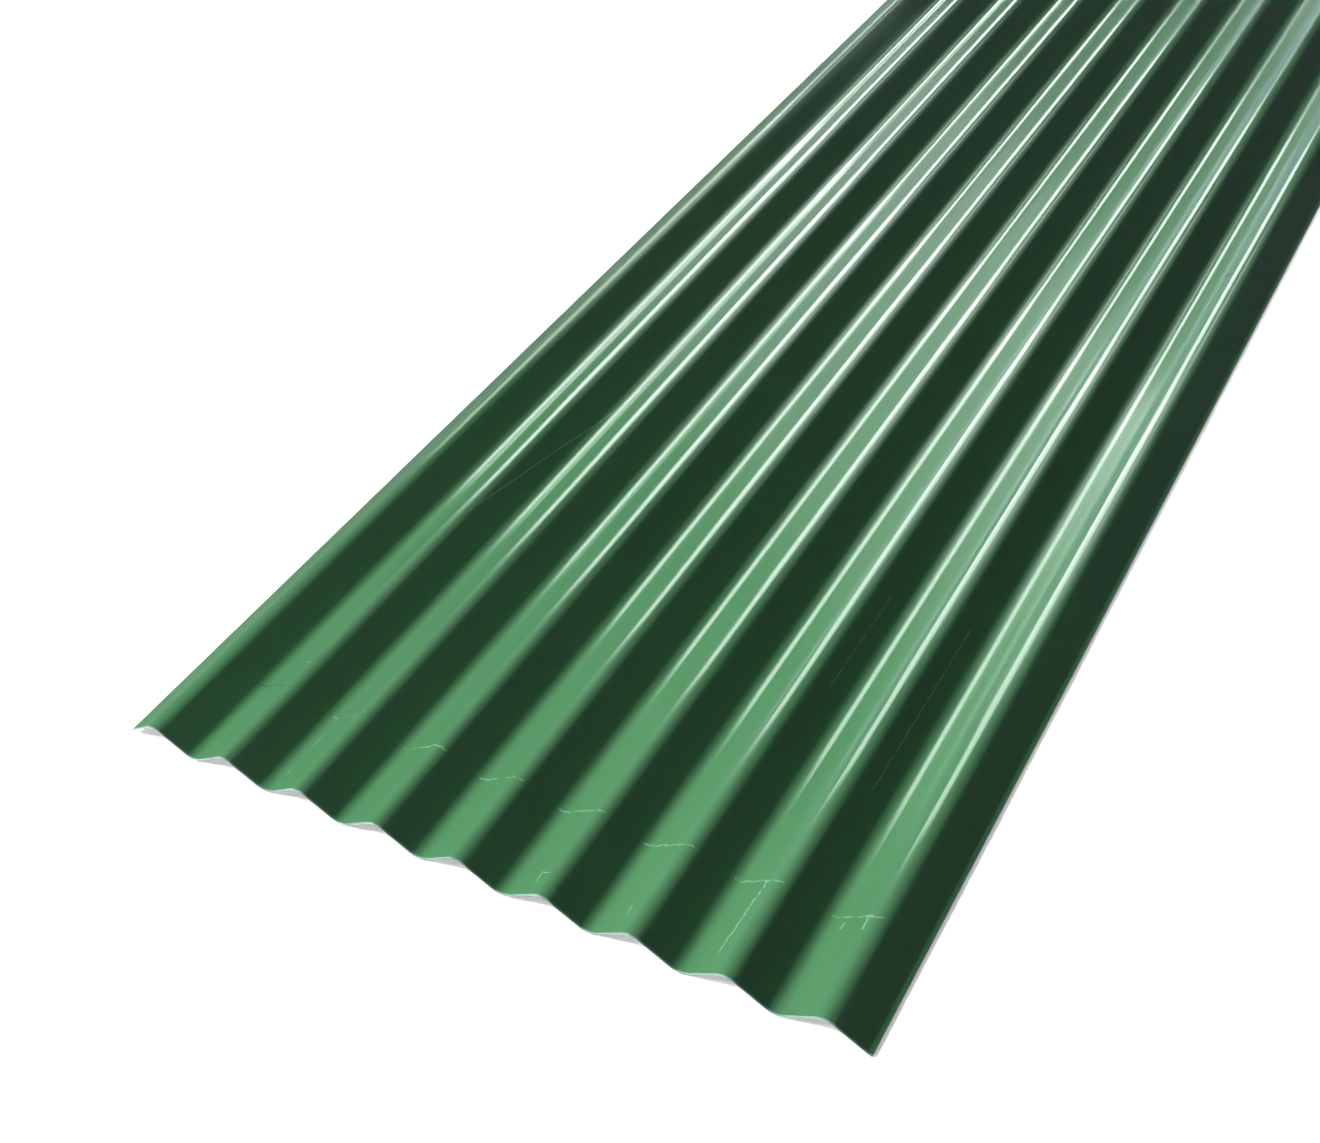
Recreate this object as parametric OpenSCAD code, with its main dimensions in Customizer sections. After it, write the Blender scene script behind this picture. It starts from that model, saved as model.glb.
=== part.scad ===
// Corrugated roofing sheet: one strip of coated steel, rolled into waves that run along Y

/* [Sheet] */
// Length of the sheet, along its waves
sheet_length = 2440; // [600:10:6000]
// Thickness of the coated steel
sheet_t = 0.8; // [0.3:0.05:1.6]

/* [Waves] */
// Crests across the sheet
crest_count = 9; // [2:1:14]
// Distance from one crest to the next
wave_pitch = 76; // [60:0.5:130]
// Height of a crest over a valley, on one face
wave_depth = 19; // [10:0.5:30]
// Radius of the crest and valley bends, at mid thickness
bend_r = 14; // [6:0.5:22]

/* [Side edges] */
// Width from the first crest's top to the side edge beyond it
first_edge = 28.5; // [15:0.5:45]
// Width from the last crest's top to the side edge beyond it
last_edge = 35; // [15:0.5:45]

/* [Hidden] */

// Each bend stands this little proud of its flanks, so that arc and flank always cross
bend_lap = 0.004;

half_pitch = wave_pitch / 2;
crest_span = (crest_count - 1) * wave_pitch;
sheet_width = first_edge + crest_span + last_edge;
sheet_height = wave_depth + sheet_t + 2 * bend_lap;

// Slope at which a flat flank is tangent to a crest bend and to a valley bend
bend_gap = 2 * bend_r - wave_depth;
slope = asin(2 * bend_r / norm([half_pitch, bend_gap])) - atan2(bend_gap, half_pitch);

// Mid thickness at the valleys, which touch z = 0, and the centres of the bends
base_z = sheet_t / 2 + bend_lap;
valley_centre_z = base_z + bend_r;
crest_centre_z = base_z + wave_depth - bend_r;

// Crests and valleys counted from the first crest at x = 0, with one valley beyond each outer crest
crest_xs = [for (i = [0 : crest_count - 1]) i * wave_pitch];
valley_xs = [for (i = [-1 : crest_count - 1]) i * wave_pitch + half_pitch];

// All that lies below one face of the sheet, where lift is that face's height over mid thickness
module below_face(lift, floor_z, run) {
    crest_r = bend_r + lift;
    valley_r = bend_r - lift;
    crest_z = crest_centre_z + crest_r * cos(slope);
    valley_z = valley_centre_z - valley_r * cos(slope);
    crest_half = crest_r * sin(slope);
    valley_half = valley_r * sin(slope);
    flanks = [for (x = valley_xs) each [
        [x - half_pitch + crest_half, crest_z],
        [x - valley_half, valley_z],
        [x + valley_half, valley_z],
        [x + half_pitch - crest_half, crest_z]
    ]];
    first = flanks[0];
    last = flanks[len(flanks) - 1];
    difference() {
        union() {
            linear_extrude(height = run, center = true)
                polygon(concat([[first.x, floor_z]], flanks, [[last.x, floor_z]]));
            for (x = crest_xs)
                translate([x, crest_centre_z, 0])
                    cylinder(r = crest_r + bend_lap, h = run, center = true, $fn = 96);
        }
        for (x = valley_xs)
            translate([x, valley_centre_z, 0])
                cylinder(r = valley_r + bend_lap, h = 2 * run, center = true, $fn = 96);
    }
}

module rolled_waves() {
    difference() {
        below_face(sheet_t / 2, -wave_depth, sheet_length);
        below_face(-sheet_t / 2, -2 * wave_depth, 2 * sheet_length);
    }
}

module corrugated_sheet() {
    color([0.12, 0.33, 0.20])
        intersection() {
            translate([first_edge - sheet_width / 2, 0, 0])
                rotate([90, 0, 0])
                    rolled_waves();
            translate([-sheet_width / 2, -sheet_length, -sheet_height])
                cube([sheet_width, 2 * sheet_length, 3 * sheet_height]);
        }
}

corrugated_sheet();
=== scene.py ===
import math

import bmesh
import bpy
from bpy.props import FloatProperty, FloatVectorProperty, IntProperty, PointerProperty
from bpy.types import Operator, Panel, PropertyGroup
from mathutils import Matrix, Quaternion, Vector, noise


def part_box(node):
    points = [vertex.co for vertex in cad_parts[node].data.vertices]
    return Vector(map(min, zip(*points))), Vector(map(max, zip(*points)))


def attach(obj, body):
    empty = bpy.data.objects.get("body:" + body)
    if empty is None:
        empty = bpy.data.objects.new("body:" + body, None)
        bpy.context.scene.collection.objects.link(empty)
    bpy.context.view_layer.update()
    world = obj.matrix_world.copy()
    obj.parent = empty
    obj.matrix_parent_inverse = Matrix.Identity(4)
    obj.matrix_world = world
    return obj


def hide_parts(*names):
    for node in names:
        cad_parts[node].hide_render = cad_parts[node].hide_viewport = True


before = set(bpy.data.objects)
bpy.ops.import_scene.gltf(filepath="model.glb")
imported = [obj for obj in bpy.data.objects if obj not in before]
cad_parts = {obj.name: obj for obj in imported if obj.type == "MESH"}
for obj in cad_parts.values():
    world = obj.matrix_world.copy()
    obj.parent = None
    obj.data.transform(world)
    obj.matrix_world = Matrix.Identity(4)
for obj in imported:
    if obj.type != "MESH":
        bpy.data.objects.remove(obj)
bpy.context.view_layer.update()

bl_info = {
    "name": "Corrugated Roofing Sheet",
    "version": (1, 0, 0),
    "blender": (4, 5, 0),
    "location": "View3D > Sidebar > Roofing",
    "description": "One corrugated roofing sheet of coated steel, with its stage",
    "category": "Object",
}

NODE = "corrugated_sheet"
SHEET_LOW, SHEET_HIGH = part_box(NODE)
FIRST_SIDE, NEAR_END = SHEET_LOW[0], SHEET_LOW[1]
MM = 0.001


class RoofingSizes(PropertyGroup):
    """Sizes of the rolled sheet"""

    length: FloatProperty(
        name="Length",
        description="Length of the sheet, along its waves",
        default=SHEET_HIGH[1] - SHEET_LOW[1],
        min=0.1,
        unit="LENGTH",
    )
    thickness: FloatProperty(
        name="Thickness",
        description="Thickness of the coated steel",
        default=0.8 * MM,
        min=0.0001,
        precision=5,
        unit="LENGTH",
    )
    crests: IntProperty(
        name="Crests",
        description="Crests across the sheet",
        default=9,
        min=2,
    )
    pitch: FloatProperty(
        name="Pitch",
        description="Distance from one crest to the next",
        default=76 * MM,
        min=0.01,
        precision=4,
        unit="LENGTH",
    )
    depth: FloatProperty(
        name="Depth",
        description="Height of a crest over a valley, on one face",
        default=19 * MM,
        min=0.001,
        precision=4,
        unit="LENGTH",
    )
    bend_radius: FloatProperty(
        name="Bend Radius",
        description="Radius of the crest and valley bends, at mid thickness",
        default=14 * MM,
        min=0.001,
        precision=4,
        unit="LENGTH",
    )
    first_edge: FloatProperty(
        name="First Edge",
        description="Width from the first crest's top to the side edge beyond it",
        default=28.5 * MM,
        precision=4,
        unit="LENGTH",
    )
    base: FloatProperty(
        name="Base",
        description="Mid thickness of the valleys over the floor",
        default=0.404 * MM,
        precision=5,
        unit="LENGTH",
    )


class RoofingFinish(PropertyGroup):
    """Colours of the coated steel"""

    paint: FloatVectorProperty(
        name="Paint",
        description="Gloss paint on the weather face",
        subtype="COLOR",
        size=4,
        min=0,
        max=1,
        default=(0.084, 0.262, 0.112, 1),
    )
    scuff: FloatVectorProperty(
        name="Scuff",
        description="Paint where it is scratched or creased",
        subtype="COLOR",
        size=4,
        min=0,
        max=1,
        default=(0.22, 0.52, 0.30, 1),
    )
    # Also the colour of the painted shade on the first side lip
    crease_and_shade: FloatVectorProperty(
        name="Crease",
        description="Paint in the dark creases and specks, and under the grime of the first side lip",
        subtype="COLOR",
        size=4,
        min=0,
        max=1,
        default=(0.036, 0.115, 0.052, 1),
    )
    backing: FloatVectorProperty(
        name="Backing Coat",
        description="Thin coat on the underside",
        subtype="COLOR",
        size=4,
        min=0,
        max=1,
        default=(0.42, 0.44, 0.43, 1),
    )
    # Light teal that also paints the highlight along the weather face's cut ends
    cut_steel: FloatVectorProperty(
        name="Cut Steel",
        description="Zinc and bare steel along the cut ends",
        subtype="COLOR",
        size=4,
        min=0,
        max=1,
        default=(0.34, 0.60, 0.48, 1),
    )


class RoofingStage(PropertyGroup):
    """Floor, lamps and camera"""

    floor: FloatVectorProperty(
        name="Floor",
        description="Plain pale floor",
        subtype="COLOR",
        size=4,
        min=0,
        max=1,
        default=(0.86, 0.86, 0.86, 1),
    )
    key_watts: FloatProperty(
        name="Key",
        description="Soft lamp that faces the near end; the one for the far end has a share of this",
        default=48,
        min=0,
        unit="POWER",
    )
    window_watts: FloatProperty(
        name="Window",
        description="Soft panels that show as long highlights, each with its share of this",
        default=2200,
        min=0,
        unit="POWER",
    )
    lens: FloatProperty(
        name="Lens",
        description="Focal length of the camera, in millimetres",
        default=45.613,
        min=1,
    )


# Sockets of a colour mix: factor, first colour, second colour and result
MIX_INPUTS = (0, 6, 7)
MIX_RESULT = 2
# Vector maths that gives one number
GIVES_VALUE = ("DOT_PRODUCT", "LENGTH", "DISTANCE")


def feed(tree, socket, value):
    """Sets a socket to a plain value, or links it to another socket"""
    if isinstance(value, (int, float, tuple)):
        socket.default_value = value
    else:
        tree.links.new(value, socket)


def add_node(tree, kind, **attributes):
    """A node of one kind with its attributes set"""
    made = tree.nodes.new(kind)
    for name, value in attributes.items():
        setattr(made, name, value)
    return made


def math_node(tree, operation, *values, clamp=False):
    """The output of a maths node fed by sockets or plain numbers"""
    made = add_node(tree, "ShaderNodeMath", operation=operation, use_clamp=clamp)
    for socket, value in zip(made.inputs, values):
        feed(tree, socket, value)
    return made.outputs[0]


def vector_node(tree, operation, first, second=None):
    """The output of a vector maths node fed by sockets or plain triples"""
    made = add_node(tree, "ShaderNodeVectorMath", operation=operation)
    feed(tree, made.inputs[0], first)
    if second is not None:
        feed(tree, made.inputs["Scale" if operation == "SCALE" else 1], second)
    return made.outputs["Value" if operation in GIVES_VALUE else "Vector"]


def ramp_node(tree, value, low, high, out_low=0.0, out_high=1.0, smooth=True):
    """The value carried from one range to another, held at its ends"""
    made = add_node(tree, "ShaderNodeMapRange", clamp=True)
    made.interpolation_type = "SMOOTHSTEP" if smooth else "LINEAR"
    names = ("Value", "From Min", "From Max", "To Min", "To Max")
    for name, given in zip(names, (value, low, high, out_low, out_high)):
        feed(tree, made.inputs[name], given)
    return made.outputs["Result"]


def noise_node(tree, vector, scale, detail, rough, out="Fac"):
    """A noise pattern over a vector"""
    made = add_node(tree, "ShaderNodeTexNoise", noise_dimensions="3D")
    names = ("Vector", "Scale", "Detail", "Roughness")
    for name, given in zip(names, (vector, scale, detail, rough)):
        feed(tree, made.inputs[name], given)
    return made.outputs[out]


def mix_colour(tree, factor, first, second, blend="MIX"):
    """Two colours mixed by a factor"""
    made = add_node(tree, "ShaderNodeMix", data_type="RGBA", blend_type=blend, clamp_factor=True)
    for place, value in zip(MIX_INPUTS, (factor, first, second)):
        feed(tree, made.inputs[place], value)
    return made.outputs[MIX_RESULT]


def split_node(tree, vector):
    """The three parts of a vector"""
    made = add_node(tree, "ShaderNodeSeparateXYZ")
    feed(tree, made.inputs[0], vector)
    return made.outputs


def new_group(name, inputs, outputs):
    """An empty shader node group with its named sockets"""
    group = bpy.data.node_groups.new(name, "ShaderNodeTree")
    for label, kind, default in inputs:
        socket = group.interface.new_socket(label, in_out="INPUT", socket_type=kind)
        socket.default_value = default
    for label, kind in outputs:
        group.interface.new_socket(label, in_out="OUTPUT", socket_type=kind)
    entry = group.nodes.new("NodeGroupInput")
    leave = group.nodes.new("NodeGroupOutput")
    return group, entry.outputs, leave.inputs


def group_node(tree, group, **values):
    """The outputs of a placed node group with its own values and links"""
    made = add_node(tree, "ShaderNodeGroup", node_tree=group)
    for name, value in values.items():
        feed(tree, made.inputs[name.replace("_", " ")], value)
    return made.outputs


def roller_streak_group():
    """Faint lines and mottling that the rolls leave along the sheet"""
    group, given, result = new_group(
        "Roller Streaks",
        (
            ("Position", "NodeSocketVector", (0, 0, 0)),
            ("Strength", "NodeSocketFloat", 0.1),
        ),
        (("Tone", "NodeSocketFloat"), ("Dullness", "NodeSocketFloat"), ("Height", "NodeSocketFloat")),
    )
    line_stretch = (1.0, 0.02, 1.0)
    mottle_stretch = (1.0, 0.25, 1.0)
    line_share, mottle_share = 0.45, 0.55
    ridge_height = 0.3
    lengthwise = vector_node(group, "MULTIPLY", given["Position"], line_stretch)
    lines = noise_node(group, lengthwise, scale=420.0, detail=3.0, rough=0.6)
    broad = vector_node(group, "MULTIPLY", given["Position"], mottle_stretch)
    mottle = noise_node(group, broad, scale=9.0, detail=4.0, rough=0.55)
    line_tone = math_node(group, "MULTIPLY", lines, line_share)
    both = math_node(group, "ADD", line_tone, math_node(group, "MULTIPLY", mottle, mottle_share))
    swing = math_node(group, "MULTIPLY", math_node(group, "SUBTRACT", both, 0.5), given["Strength"])
    feed(group, result["Tone"], math_node(group, "MULTIPLY_ADD", swing, 2.0, 1.0))
    feed(group, result["Dullness"], ramp_node(group, mottle, low=0.35, high=0.7))
    peel = noise_node(group, given["Position"], scale=900.0, detail=1.0, rough=0.4)
    ridges = math_node(group, "MULTIPLY", lines, ridge_height)
    feed(group, result["Height"], math_node(group, "ADD", ridges, peel))
    return group


def scratch_group():
    """One thin jagged mark between two points of the sheet, seen from above"""
    flat = (1, 1, 0)
    solid_core = 0.25
    gap_blur = 0.16
    group, given, result = new_group(
        "Scratch Mark",
        (
            ("Position", "NodeSocketVector", (0, 0, 0)),
            ("Wander", "NodeSocketVector", (0, 0, 0)),
            ("Breaks", "NodeSocketFloat", 1.0),
            ("Start", "NodeSocketVector", (0, 0, 0)),
            ("End", "NodeSocketVector", (0, 0, 0)),
            ("Width", "NodeSocketFloat", 0.0008),
            ("Jag", "NodeSocketFloat", 0.004),
            ("Gaps", "NodeSocketFloat", 0.4),
        ),
        (("Mask", "NodeSocketFloat"),),
    )
    wander = vector_node(group, "SCALE", given["Wander"], given["Jag"])
    moved = vector_node(group, "ADD", given["Position"], wander)
    from_start = vector_node(group, "SUBTRACT", moved, given["Start"])
    from_start = vector_node(group, "MULTIPLY", from_start, flat)
    run = vector_node(group, "SUBTRACT", given["End"], given["Start"])
    run = vector_node(group, "MULTIPLY", run, flat)
    along = vector_node(group, "DOT_PRODUCT", from_start, run)
    square = vector_node(group, "DOT_PRODUCT", run, run)
    share = math_node(group, "DIVIDE", along, square, clamp=True)
    foot = vector_node(group, "SCALE", run, share)
    away = vector_node(group, "LENGTH", vector_node(group, "SUBTRACT", from_start, foot))
    core = math_node(group, "MULTIPLY", given["Width"], solid_core)
    line = ramp_node(group, away, core, given["Width"], 1.0, 0.0)
    whole = math_node(group, "ADD", given["Gaps"], gap_blur)
    kept = ramp_node(group, given["Breaks"], given["Gaps"], whole)
    feed(group, result["Mask"], math_node(group, "MULTIPLY", line, kept))
    return group


def rim_wear_and_highlight_group():
    """Ragged band along the two cut ends where the coat has flaked; on the weather face its light colour
    also stands in for the cut edge's highlight
    """
    solid_core = 0.7
    least, spread = 0.4, 1.2
    group, given, result = new_group(
        "Rim Wear",
        (
            ("Position", "NodeSocketVector", (0, 0, 0)),
            ("Half Length", "NodeSocketFloat", 1.2),
            ("Band", "NodeSocketFloat", 0.001),
        ),
        (("Mask", "NodeSocketFloat"),),
    )
    from_middle = math_node(group, "ABSOLUTE", split_node(group, given["Position"])["Y"])
    away = math_node(group, "SUBTRACT", given["Half Length"], from_middle)
    ragged = noise_node(group, given["Position"], scale=260.0, detail=3.0, rough=0.65)
    ragged = math_node(group, "MULTIPLY_ADD", ragged, spread, least)
    band = math_node(group, "MULTIPLY", given["Band"], ragged)
    core = math_node(group, "MULTIPLY", band, solid_core)
    feed(group, result["Mask"], ramp_node(group, away, core, band, 1.0, 0.0))
    return group


def new_material(name):
    """A material with one principled shader, and its parts"""
    material = bpy.data.materials.new(name)
    material.use_nodes = True
    tree = material.node_tree
    shader = next(n for n in tree.nodes if n.type == "BSDF_PRINCIPLED")
    place = add_node(tree, "ShaderNodeTexCoord").outputs["Object"]
    return material, tree, shader, place


def streaked(tree, streaks, place, colour, strength):
    """A colour with the roller streaks on it, and the streaks' outputs"""
    streak = group_node(tree, streaks, Position=place, Strength=strength)
    tone = add_node(tree, "ShaderNodeCombineColor")
    for channel in range(3):
        feed(tree, tone.inputs[channel], streak["Tone"])
    return mix_colour(tree, 1.0, tuple(colour), tone.outputs[0], "MULTIPLY"), streak


def dulled(tree, streak, rough, more):
    """A roughness that is more where the streaks dull the surface"""
    return math_node(tree, "MULTIPLY_ADD", streak["Dullness"], more, rough)


def streak_bump(tree, shader, streak, strength):
    """The streaks as a faint bump of the shader"""
    bump = add_node(tree, "ShaderNodeBump")
    feed(tree, bump.inputs["Strength"], strength)
    feed(tree, bump.inputs["Distance"], 0.2 * MM)
    feed(tree, bump.inputs["Height"], streak["Height"])
    feed(tree, shader.inputs["Normal"], bump.outputs[0])


# Marks on the weather face: start x, start y, end x, end y, width and jag in mm, and gaps as a share,
# with x from the sheet's middle and y from its near end
LIGHT_MARKS = (
    (-200, 88.5, -148, 87.5, 0.9, 7, 0.42),
    (-122, 88.0, -73, 88.0, 1.1, 7, 0.34),
    (-44, 88.5, 0, 88.5, 1.0, 6, 0.36),
    (31, 88.5, 75, 89.0, 1.0, 6, 0.38),
    (107, 89.5, 150, 90.0, 1.0, 5, 0.34),
    (184, 90.0, 227, 91.0, 1.1, 6, 0.34),
    (264, 92.0, 302, 93.5, 1.0, 6, 0.36),
    (60.0, 11.0, 58.5, 24.0, 0.9, 3, 0.36),
    (58.5, 23.5, 65.5, 23.0, 0.8, 3, 0.34),
    (133.7, 17.0, 133.9, 28.0, 0.7, 3, 0.38),
    (208.4, 21.0, 211.2, 80.0, 1.0, 3, 0.33),
    (211.2, 93.0, 211.9, 83.0, 1.0, 2, 0.30),
    (290.6, 93.0, 291.3, 81.0, 1.0, 2, 0.32),
    (275.0, 86.8, 274.0, 81.5, 0.9, 2, 0.32),
    (-186.3, 20.0, -183.0, 128.0, 0.7, 3, 0.45),
    (-262.0, 130.0, -232.0, 117.0, 0.8, 8, 0.48),
    (290.6, 93.4, 293.4, 93.4, 1.7, 1, 0.0),
    (-226.0, 344.0, -208.0, 471.0, 0.7, 1, 0.30),
    (-208.0, 471.0, -189.0, 592.0, 0.7, 1, 0.36),
    (243.4, 200.0, 244.5, 400.0, 0.6, 1, 0.34),
    (167.4, 290.0, 168.5, 420.0, 0.6, 1, 0.40),
)
# Dark creases and specks, in the same order
DARK_MARKS = (
    (-276.0, 91.0, -258.0, 93.6, 0.8, 2, 0.24),
    (-258.0, 93.6, -233.0, 88.4, 0.8, 2, 0.34),
    (286.0, 1008.0, 288.0, 1010.0, 2.8, 1, 0.0),
)

# Materials of the sheet's faces
PAINT, BACKING, CUT = range(3)


class ROOFING_OT_sheet(Operator):
    """Builds the rolled sheet with its paint, backing coat and cut edges"""

    bl_idname = "roofing.sheet"
    bl_label = "Corrugated Sheet"
    bl_options = {"REGISTER", "UNDO"}

    # Mesh: steps over a bend, over a flank and along the sheet, the rounding of the rims,
    # and the narrow strip of faces that keeps that rounding out of the broad faces
    BEND_STEPS = 12
    FLANK_STEPS = 4
    ROWS = 96
    RIM = 0.16 * MM
    RIM_STRIP = 1.2 * MM
    # Unevenness: most height, scale across and along, and seed
    SWAY = 0.35 * MM
    SWAY_ACROSS = 3.0
    SWAY_ALONG = 1.6
    SWAY_SEED = 0.3
    # Painted shade on the first side lip: widths over which it and the dull paint end, and lengths over
    # which it deepens towards the far end
    LIP_SHADE_ENDS = (12 * MM, 34 * MM)
    DULL_ENDS = (22 * MM, 34 * MM)
    LIP_SHADE_DEEPENS = (60 * MM, 380 * MM)
    LIP_SHADE_DEPTHS = (0.62, 0.88)
    LIP_GLOSS = 0.05
    # Worn bands at the cut ends, the weather face's one also a painted highlight of the cut edge, and how
    # much rougher the paint is there and in its scratches
    PAINT_WEAR_AND_HIGHLIGHT = 1.5 * MM
    BACKING_WEAR = 1.4 * MM
    SCRAPED_DULLNESS = 0.2

    def execute(self, context):
        finish = context.scene.roofing_finish
        sheet = self.rolled_mesh(context.scene.roofing_sizes)
        streaks = roller_streak_group()
        rim = rim_wear_and_highlight_group()
        for material in (
            self.weather_paint(finish, streaks, rim),
            self.backing_coat(finish, streaks, rim),
            self.cut_steel(finish, streaks),
        ):
            sheet.data.materials.append(material)
        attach(sheet, "root")
        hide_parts(NODE)
        return {"FINISHED"}

    def middle_line(self, sizes):
        """Points and normals along the middle of the rolled section, past both side edges"""
        half = sizes.pitch / 2
        gap = 2 * sizes.bend_radius - sizes.depth
        slope = math.asin(2 * sizes.bend_radius / math.hypot(half, gap)) - math.atan2(gap, half)
        first_x = FIRST_SIDE + sizes.first_edge
        line = []
        for bend in range(-1, 2 * sizes.crests):
            is_crest = bend % 2 == 0
            side = 1 if is_crest else -1
            level = sizes.base + (sizes.depth if is_crest else 0)
            centre = Vector((first_x + bend * half, 0, level - side * sizes.bend_radius))
            arc = []
            for step in range(self.BEND_STEPS + 1):
                lean = slope * (2 * step / self.BEND_STEPS - 1)
                normal = Vector((side * math.sin(lean), 0, math.cos(lean)))
                arc.append((centre + normal * (side * sizes.bend_radius), normal))
            if line:
                start, normal = line[-1]
                for step in range(1, self.FLANK_STEPS):
                    line.append((start.lerp(arc[0][0], step / self.FLANK_STEPS), normal))
            line.extend(arc)
        return line

    def face_line(self, line, lift):
        """One face of the section, cut square at both side edges, with a narrow strip at each"""
        face = [point + normal * lift for point, normal in line]
        low, high = FIRST_SIDE, SHEET_HIGH[0]
        strip = 2 * self.RIM_STRIP
        inner = [i for i, (point, _) in enumerate(line) if low + strip < point.x < high - strip]
        ends = []
        for near, far, x in ((inner[0], inner[0] - 1, low), (inner[-1], inner[-1] + 1, high)):
            while (face[far].x - x) * (face[near].x - x) > 0:
                far += far - near
            share = (x - face[near].x) / (face[far].x - face[near].x)
            end = face[near].lerp(face[far], share)
            ends.append((end, end.lerp(face[near], self.RIM_STRIP / (end - face[near]).length)))
        first, last = ends
        return [first[0], first[1]] + [face[i] for i in inner] + [last[1], last[0]]

    def vert_rows(self, mesh, face, along):
        """Rows of vertices of one face, from the near end to the far end"""
        rows = []
        for y in (NEAR_END + place for place in along):
            rows.append([mesh.verts.new((p.x, y, p.z + self.sway(p.x, y))) for p in face])
        return rows

    def rolled_mesh(self, sizes):
        """The closed sheet, with both its faces, its walls and its rounded rims"""
        line = self.middle_line(sizes)
        half_t = sizes.thickness / 2
        along = [sizes.length * row / self.ROWS for row in range(1, self.ROWS)]
        along = [0, self.RIM_STRIP] + along + [sizes.length - self.RIM_STRIP, sizes.length]
        mesh = bmesh.new()
        top = self.vert_rows(mesh, self.face_line(line, half_t), along)
        bottom = self.vert_rows(mesh, self.face_line(line, -half_t), along)
        end, side = len(along) - 1, len(top[0]) - 1
        for row in range(end):
            for i in range(side):
                mesh.faces.new((top[row][i], top[row][i + 1], top[row + 1][i + 1], top[row + 1][i]))
                under = mesh.faces.new((
                    bottom[row][i], bottom[row + 1][i], bottom[row + 1][i + 1], bottom[row][i + 1],
                ))
                under.material_index = BACKING
        around = [(0, i) for i in range(side + 1)]
        around += [(row, side) for row in range(1, end + 1)]
        around += [(end, i) for i in range(side - 1, -1, -1)]
        around += [(row, 0) for row in range(end - 1, 0, -1)]
        rims = []
        for (row, i), (next_row, next_i) in zip(around, around[1:] + around[:1]):
            a, b = top[row][i], top[next_row][next_i]
            c, d = bottom[next_row][next_i], bottom[row][i]
            mesh.faces.new((b, a, d, c)).material_index = CUT
            rims += [mesh.edges.get((a, b)), mesh.edges.get((c, d))]
        bmesh.ops.bevel(
            mesh, geom=rims, offset=self.RIM, segments=2, profile=0.5, affect="EDGES", material=CUT,
            clamp_overlap=True,
        )
        bmesh.ops.recalc_face_normals(mesh, faces=mesh.faces)
        short_of_end = SHEET_HIGH[1] - self.RIM_STRIP / 2
        for made in mesh.faces:
            made.smooth = True
            if made.material_index == CUT and abs(made.calc_center_median().y) < short_of_end:
                made.material_index = PAINT
        data = bpy.data.meshes.new("roofing_sheet")
        mesh.to_mesh(data)
        mesh.free()
        sheet = bpy.data.objects.new("roofing_sheet", data)
        bpy.context.collection.objects.link(sheet)
        return sheet

    def sway(self, x, y):
        """Slight unevenness of thin rolled steel"""
        level = noise.noise(Vector((x * self.SWAY_ACROSS, y * self.SWAY_ALONG, self.SWAY_SEED)))
        return self.SWAY * (0.5 + 0.5 * level)

    def marks(self, tree, place):
        """Masks of the light marks and of the dark ones"""
        scratch = scratch_group()
        wander = noise_node(tree, place, scale=150.0, detail=2.0, rough=0.6, out="Color")
        wander = vector_node(tree, "SUBTRACT", wander, (0.5, 0.5, 0.5))
        breaks = noise_node(tree, place, scale=95.0, detail=3.0, rough=0.6)
        masks = []
        for table in (LIGHT_MARKS, DARK_MARKS):
            whole = None
            for x0, y0, x1, y1, width, jag, gaps in table:
                mask = group_node(
                    tree, scratch, Position=place, Wander=wander, Breaks=breaks,
                    Start=(x0 * MM, NEAR_END + y0 * MM, 0), End=(x1 * MM, NEAR_END + y1 * MM, 0),
                    Width=width * MM, Jag=jag * MM, Gaps=gaps,
                )["Mask"]
                whole = mask if whole is None else math_node(tree, "MAXIMUM", whole, mask)
            masks.append(whole)
        return masks

    def weather_paint(self, finish, streaks, rim):
        """Gloss paint with painted shade on the first side lip, marks, and worn ends that also carry a
        painted highlight of the cut edge
        """
        material, tree, shader, place = new_material("Gloss green paint")
        colour, streak = streaked(tree, streaks, place, finish.paint, strength=0.16)
        axes = split_node(tree, place)
        # Painted shade: the first side lip is mixed towards the dark crease colour, more towards the far
        # end
        deepens = [NEAR_END + y for y in self.LIP_SHADE_DEEPENS]
        depth = ramp_node(tree, axes["Y"], *deepens, *self.LIP_SHADE_DEPTHS)
        painted_shade = ramp_node(tree, axes["X"], *(FIRST_SIDE + x for x in self.LIP_SHADE_ENDS), depth, 0.0)
        colour = mix_colour(tree, painted_shade, colour, tuple(finish.crease_and_shade))
        light, dark = self.marks(tree, place)
        colour = mix_colour(tree, dark, colour, tuple(finish.crease_and_shade))
        colour = mix_colour(tree, light, colour, tuple(finish.scuff))
        # Light band at the cut ends: worn coat, and a painted highlight of the cut edge
        worn = group_node(
            tree, rim, Position=place, Half_Length=SHEET_HIGH[1], Band=self.PAINT_WEAR_AND_HIGHLIGHT,
        )["Mask"]
        colour = mix_colour(tree, worn, colour, tuple(finish.cut_steel))
        feed(tree, shader.inputs["Base Color"], colour)
        scraped = math_node(tree, "MAXIMUM", light, worn)
        dull = dulled(tree, streak, rough=0.42, more=0.08)
        dull = math_node(tree, "MULTIPLY_ADD", scraped, self.SCRAPED_DULLNESS, dull)
        feed(tree, shader.inputs["Roughness"], dull)
        shader.inputs["IOR"].default_value = 1.5
        shader.inputs["Specular IOR Level"].default_value = 0.04
        gloss = ramp_node(tree, axes["X"], *(FIRST_SIDE + x for x in self.DULL_ENDS), self.LIP_GLOSS, 1.0)
        feed(tree, shader.inputs["Coat Weight"], gloss)
        shader.inputs["Coat Roughness"].default_value = 0.10
        shader.inputs["Coat IOR"].default_value = 1.5
        streak_bump(tree, shader, streak, strength=0.05)
        return material

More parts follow.
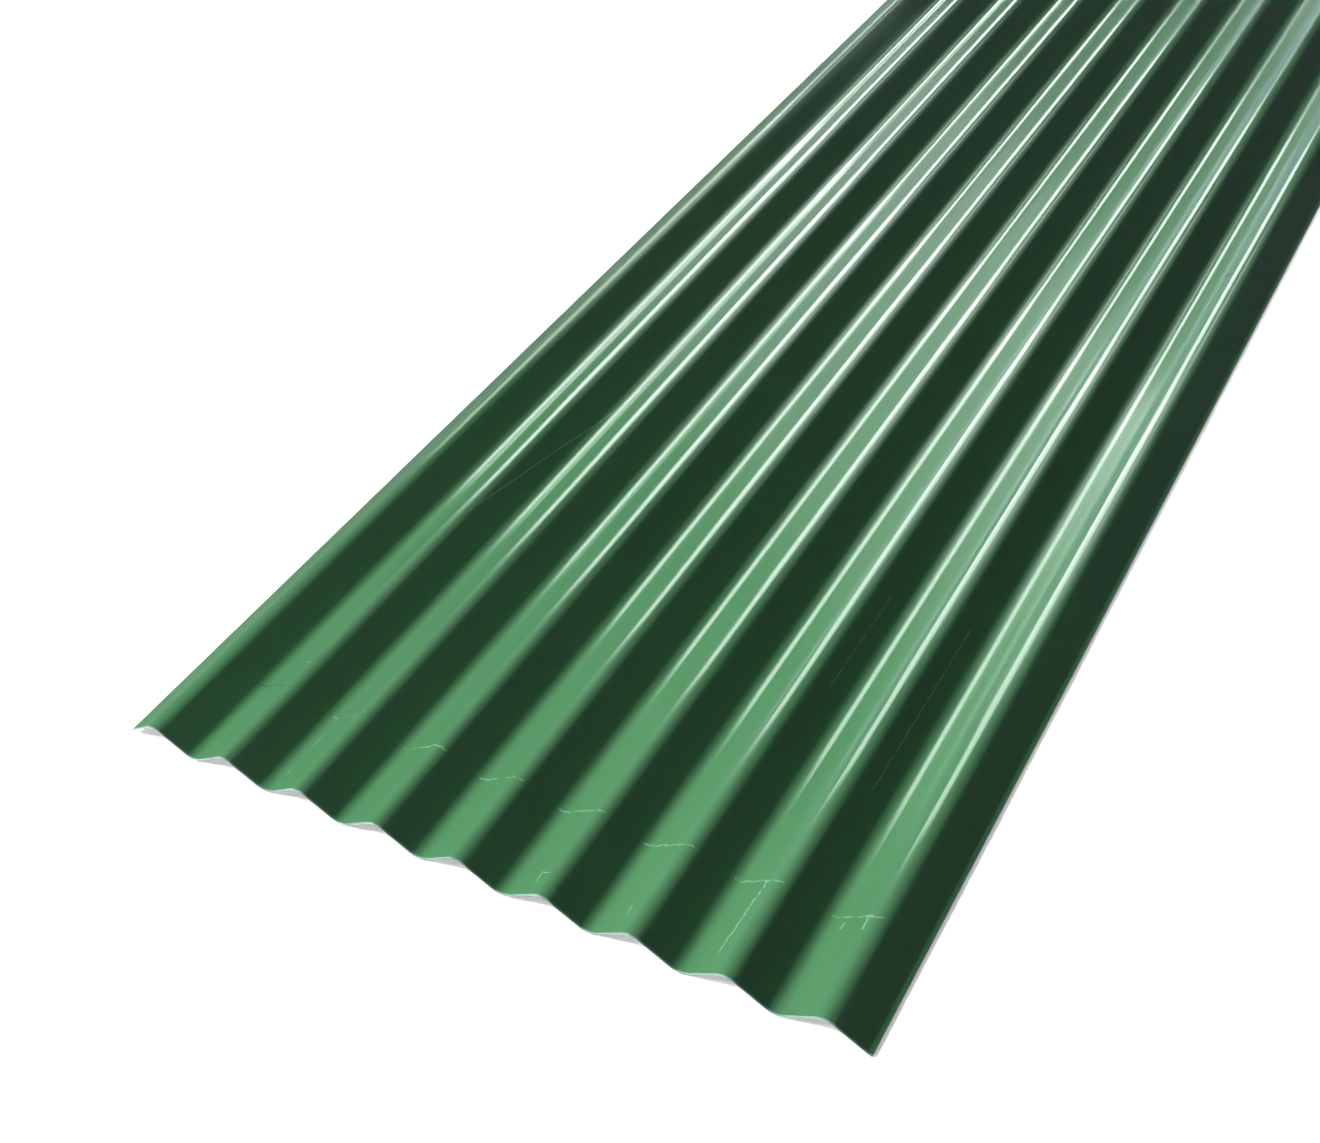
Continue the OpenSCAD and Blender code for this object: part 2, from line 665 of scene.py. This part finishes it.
    def backing_coat(self, finish, streaks, rim):
        """Plain thin coat with worn ends"""
        material, tree, shader, place = new_material("Grey backing coat")
        colour, streak = streaked(tree, streaks, place, finish.backing, strength=0.22)
        worn = group_node(
            tree, rim, Position=place, Half_Length=SHEET_HIGH[1], Band=self.BACKING_WEAR,
        )["Mask"]
        colour = mix_colour(tree, worn, colour, tuple(finish.cut_steel))
        feed(tree, shader.inputs["Base Color"], colour)
        feed(tree, shader.inputs["Roughness"], dulled(tree, streak, rough=0.42, more=0.12))
        streak_bump(tree, shader, streak, strength=0.08)
        return material

    def cut_steel(self, finish, streaks):
        """Bare zinc of the cut ends"""
        material, tree, shader, place = new_material("Cut zinc edge")
        colour, streak = streaked(tree, streaks, place, finish.cut_steel, strength=0.5)
        feed(tree, shader.inputs["Base Color"], colour)
        feed(tree, shader.inputs["Roughness"], dulled(tree, streak, rough=0.28, more=0.15))
        shader.inputs["Metallic"].default_value = 0.35
        return material


# Points that the two keys face, by the near end and by the far end
NEAR_AIM = (0.12, -1.24, 0)
FAR_AIM = (0.05, 1.3, 0)

# Lamps that light the matt colours: name, share of the key's watts, aim, bearing and spread
KEYS = (
    ("left_key", 1.0, NEAR_AIM, 245.0, 52.0),
    ("far_key", 0.18, FAR_AIM, 295.0, 30.0),
)

# Panels that show in the gloss only: name, share of the windows' watts, bearing, height, width, tallness,
# lean and colour
MINT = (0.90, 1.0, 0.95)
LILAC = (0.95, 0.90, 1.0)
VIOLET = (0.95, 0.86, 1.0)
TEAL = (0.75, 1.0, 0.9)
WHITE = (1.0, 1.0, 1.0)
WINDOWS = (
    ("window_near", 0.68, 320.1, 26.4, 6.5, 9.6, 32.5, MINT),
    ("window_far", 0.205, 331.3, 18.2, 4.1, 5.8, 32.5, MINT),
    ("window_foot", 0.072, 315.0, 11.7, 3.9, 1.7, 0.0, MINT),
    ("window_step", 0.037, 324.5, 10.2, 3.2, 0.9, 0.0, MINT),
    ("window_top", 0.126, 344.5, 38.0, 7.4, 4.9, 0.0, VIOLET),
    ("window_low", 0.036, 342.0, 15.0, 4.2, 4.9, 0.0, LILAC),
    ("window_fill", 0.06, 359.0, 40.0, 9.2, 7.0, 0.0, TEAL),
    ("front_left", 0.40, 218.5, 24.0, 5.3, 9.6, -32.5, MINT),
    ("front_right", 0.40, 140.0, 22.0, 5.3, 9.6, 32.5, MINT),
    ("front_top", 0.18, 180.0, 35.0, 7.4, 7.0, 0.0, LILAC),
    ("side_left", 0.30, 270.0, 24.0, 7.0, 7.0, 0.0, WHITE),
    ("side_right", 0.30, 90.0, 24.0, 7.0, 7.0, 0.0, WHITE),
)


class ROOFING_OT_stage(Operator):
    """Sets the camera, the floor, the lamps and the world"""

    bl_idname = "roofing.stage"
    bl_label = "Stage"
    bl_options = {"REGISTER", "UNDO"}

    CAMERA_PLACE = (0.5792, -1.7894, 0.9999)
    CAMERA_AZIMUTH = math.radians(33.381)
    CAMERA_HEIGHT = math.radians(41.845)
    CAMERA_ROLL = math.radians(-5.575)
    SENSOR_WIDTH = 36.0
    KEY_DISTANCE = 6.0
    KEY_HEIGHT = 32.6
    KEY_SIDE = 1.3
    WINDOW_DISTANCE = 20.0
    FLOOR_HALF = 30.0
    # Floor's own white around each key's aim: nearest and farthest distance, and its level at both
    NEAR_WHITE = (0.3, 2.6, 0.45, 1.0)
    FAR_WHITE = (0.2, 1.5, 0.72, 1.0)
    # Sky over the horizon and above it, each as matt and as glossy surfaces see it, and the step between
    LOW_SKY = ((0.10, 0.11, 0.13, 1), (0.46, 0.54, 0.92, 1))
    HIGH_SKY = ((0.01, 0.01, 0.01, 1), (0.10, 0.10, 0.13, 1))
    SKY_STEP = (0.06, 0.15)

    def execute(self, context):
        scene = context.scene
        stage = scene.roofing_stage
        scene.view_settings.view_transform = "Standard"
        self.camera(scene, stage)
        self.floor(stage)
        for name, share, aim, bearing, spread in KEYS:
            key = self.lamp(
                name, stage.key_watts * share, aim, self.KEY_DISTANCE, bearing, self.KEY_HEIGHT,
                self.KEY_SIDE, self.KEY_SIDE,
            )
            key.data.spread = math.radians(spread)
            key.visible_glossy = False
        for name, share, bearing, height, width, tall, lean, colour in WINDOWS:
            window = self.lamp(
                name, stage.window_watts * share, (0, 0, 0), self.WINDOW_DISTANCE, bearing, height,
                width, tall, lean,
            )
            window.data.color = colour
            window.visible_diffuse = False
        self.world(scene)
        return {"FINISHED"}

    def camera(self, scene, stage):
        """The camera at the near end's right, looking down along the sheet"""
        azimuth, height, roll = self.CAMERA_AZIMUTH, self.CAMERA_HEIGHT, self.CAMERA_ROLL
        right = Vector((math.cos(azimuth), math.sin(azimuth), 0))
        back = Vector((
            math.sin(azimuth) * math.cos(height),
            -math.cos(azimuth) * math.cos(height),
            math.sin(height),
        ))
        up = back.cross(right)
        across = math.cos(roll) * right + math.sin(roll) * up
        upward = math.cos(roll) * up - math.sin(roll) * right
        turn = Matrix((across, upward, back)).transposed().to_4x4()
        data = bpy.data.cameras.new("camera")
        data.sensor_fit = "HORIZONTAL"
        data.sensor_width = self.SENSOR_WIDTH
        data.lens = stage.lens
        made = bpy.data.objects.new("camera", data)
        made.matrix_world = Matrix.Translation(self.CAMERA_PLACE) @ turn
        scene.collection.objects.link(made)
        scene.camera = made

    def floor(self, stage):
        """The pale floor, white to the eye except in the sheet's shadow"""
        mesh = bmesh.new()
        bmesh.ops.create_grid(mesh, x_segments=8, y_segments=8, size=self.FLOOR_HALF)
        data = bpy.data.meshes.new("floor")
        mesh.to_mesh(data)
        mesh.free()
        made = bpy.data.objects.new("floor", data)
        bpy.context.collection.objects.link(made)
        material = bpy.data.materials.new("Pale floor")
        material.use_nodes = True
        tree = material.node_tree
        tree.nodes.clear()
        out = add_node(tree, "ShaderNodeOutputMaterial")
        matt = add_node(tree, "ShaderNodeBsdfDiffuse")
        feed(tree, matt.inputs["Color"], tuple(stage.floor))
        glow = add_node(tree, "ShaderNodeEmission")
        path = add_node(tree, "ShaderNodeLightPath").outputs
        seen = math_node(tree, "MAXIMUM", path["Is Camera Ray"], path["Is Glossy Ray"])
        seen = math_node(tree, "MAXIMUM", seen, path["Is Transmission Ray"])
        place = add_node(tree, "ShaderNodeTexCoord").outputs["Object"]
        levels = []
        for aim, white in ((NEAR_AIM, self.NEAR_WHITE), (FAR_AIM, self.FAR_WHITE)):
            away = vector_node(tree, "DISTANCE", place, aim)
            levels.append(ramp_node(tree, away, *white, smooth=False))
        level = math_node(tree, "MINIMUM", *levels)
        feed(tree, glow.inputs["Strength"], math_node(tree, "MULTIPLY", seen, level))
        both = add_node(tree, "ShaderNodeAddShader")
        feed(tree, both.inputs[0], matt.outputs[0])
        feed(tree, both.inputs[1], glow.outputs[0])
        feed(tree, out.inputs["Surface"], both.outputs[0])
        data.materials.append(material)

    def lamp(self, name, watts, aim, distance, bearing, height, width, tall, lean=0.0):
        """A soft panel that faces a point: its bearing runs from +Y towards +X, and its top leans right"""
        data = bpy.data.lights.new(name, "AREA")
        data.shape = "RECTANGLE"
        data.size = width
        data.size_y = tall
        data.energy = watts
        made = bpy.data.objects.new(name, data)
        bearing, height = math.radians(bearing), math.radians(height)
        away = Vector((
            math.sin(bearing) * math.cos(height), math.cos(bearing) * math.cos(height), math.sin(height),
        ))
        roll = Quaternion((0, 0, 1), math.radians(lean))
        turn = (away.to_track_quat("Z", "Y") @ roll).to_matrix().to_4x4()
        made.matrix_world = Matrix.Translation(Vector(aim) + away * distance) @ turn
        made.visible_camera = False
        bpy.context.collection.objects.link(made)
        return made

    def world(self, scene):
        """A dim sky, brighter by the horizon, and white to the eye"""
        world = bpy.data.worlds.new("studio")
        scene.world = world
        world.use_nodes = True
        tree = world.node_tree
        tree.nodes.clear()
        out = add_node(tree, "ShaderNodeOutputWorld")
        around = add_node(tree, "ShaderNodeTexCoord").outputs["Generated"]
        height = ramp_node(tree, split_node(tree, around)["Z"], *self.SKY_STEP)
        path = add_node(tree, "ShaderNodeLightPath").outputs
        low = mix_colour(tree, path["Is Glossy Ray"], *self.LOW_SKY)
        high = mix_colour(tree, path["Is Glossy Ray"], *self.HIGH_SKY)
        sky = mix_colour(tree, height, low, high)
        seen = math_node(tree, "MAXIMUM", path["Is Camera Ray"], path["Is Transmission Ray"])
        glow = add_node(tree, "ShaderNodeBackground")
        feed(tree, glow.inputs["Color"], mix_colour(tree, seen, sky, (1, 1, 1, 1)))
        feed(tree, out.inputs["Surface"], glow.outputs[0])


class ROOFING_PT_panel(Panel):
    """Lists the sheet, its finish and its stage"""

    bl_idname = "ROOFING_PT_panel"
    bl_label = "Corrugated Sheet"
    bl_space_type = "VIEW_3D"
    bl_region_type = "UI"
    bl_category = "Roofing"

    def draw(self, context):
        layout = self.layout
        scene = context.scene
        for group, operator in (
            (scene.roofing_sizes, ROOFING_OT_sheet),
            (scene.roofing_finish, None),
            (scene.roofing_stage, ROOFING_OT_stage),
        ):
            box = layout.box()
            for name in group.__annotations__:
                box.prop(group, name)
            if operator:
                box.operator(operator.bl_idname)


CLASSES = (
    RoofingSizes,
    RoofingFinish,
    RoofingStage,
    ROOFING_OT_sheet,
    ROOFING_OT_stage,
    ROOFING_PT_panel,
)


def register():
    for made in CLASSES:
        bpy.utils.register_class(made)
    bpy.types.Scene.roofing_sizes = PointerProperty(type=RoofingSizes)
    bpy.types.Scene.roofing_finish = PointerProperty(type=RoofingFinish)
    bpy.types.Scene.roofing_stage = PointerProperty(type=RoofingStage)


def unregister():
    del bpy.types.Scene.roofing_stage
    del bpy.types.Scene.roofing_finish
    del bpy.types.Scene.roofing_sizes
    for made in reversed(CLASSES):
        bpy.utils.unregister_class(made)


def main():
    register()
    bpy.ops.roofing.stage()
    bpy.ops.roofing.sheet()


if __name__ == "__main__":
    main()
